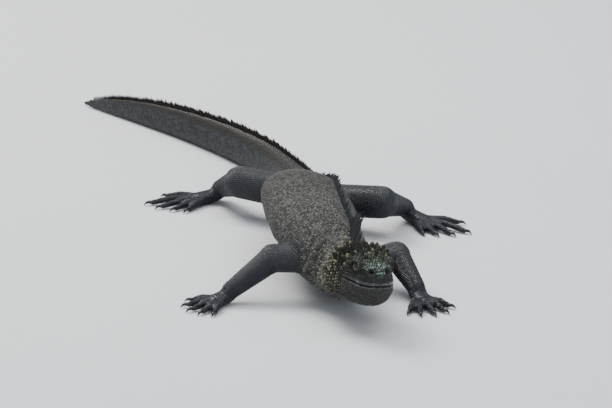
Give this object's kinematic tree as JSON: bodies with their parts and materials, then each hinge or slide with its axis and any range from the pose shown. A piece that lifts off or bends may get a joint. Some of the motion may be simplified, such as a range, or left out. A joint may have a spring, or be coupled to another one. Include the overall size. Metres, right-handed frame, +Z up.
{
  "type": "marine iguana model",
  "caption": "Still, life-size marine iguana wading: head to its left, right arm out, blunt spiny head, tall neck crest, long bladed tail.",
  "frame": {"origin": "on the floor, under the middle of the whole model's box", "axes": "+Z up, the face and chest towards -Y, the tail towards +Y, the animal's left towards +X"},
  "size_m": [0.4106, 0.7104, 0.0884],
  "materials": {
    "head_skin": "scaly skin, damp, near black with green and yellow algae tints",
    "back_skin": "fine granular scales, matt, mottled grey",
    "limb_skin": "small scales, wet, blue-black and glossy",
    "tail_skin": "keeled scales in rings, damp, dark grey",
    "eye": "glossy dark brown"
  },
  "bodies": {
    "root": {"neck": "back_skin", "torso": "back_skin", "tail_base": "tail_skin", "tail_fore": "tail_skin", "tail_rear": "tail_skin", "tail_tip": "tail_skin", "head": "head_skin", "lower_jaw": "head_skin", "eye_right": "eye", "eye_left": "eye", "upper_arm_right": "limb_skin", "forearm_right": "limb_skin", "hand_right": "limb_skin", "upper_arm_left": "limb_skin", "forearm_left": "limb_skin", "hand_left": "limb_skin", "thigh_right": "limb_skin", "shank_right": "limb_skin", "foot_right": "limb_skin", "thigh_left": "limb_skin", "shank_left": "limb_skin", "foot_left": "limb_skin"}
  },
  "joints": []
}
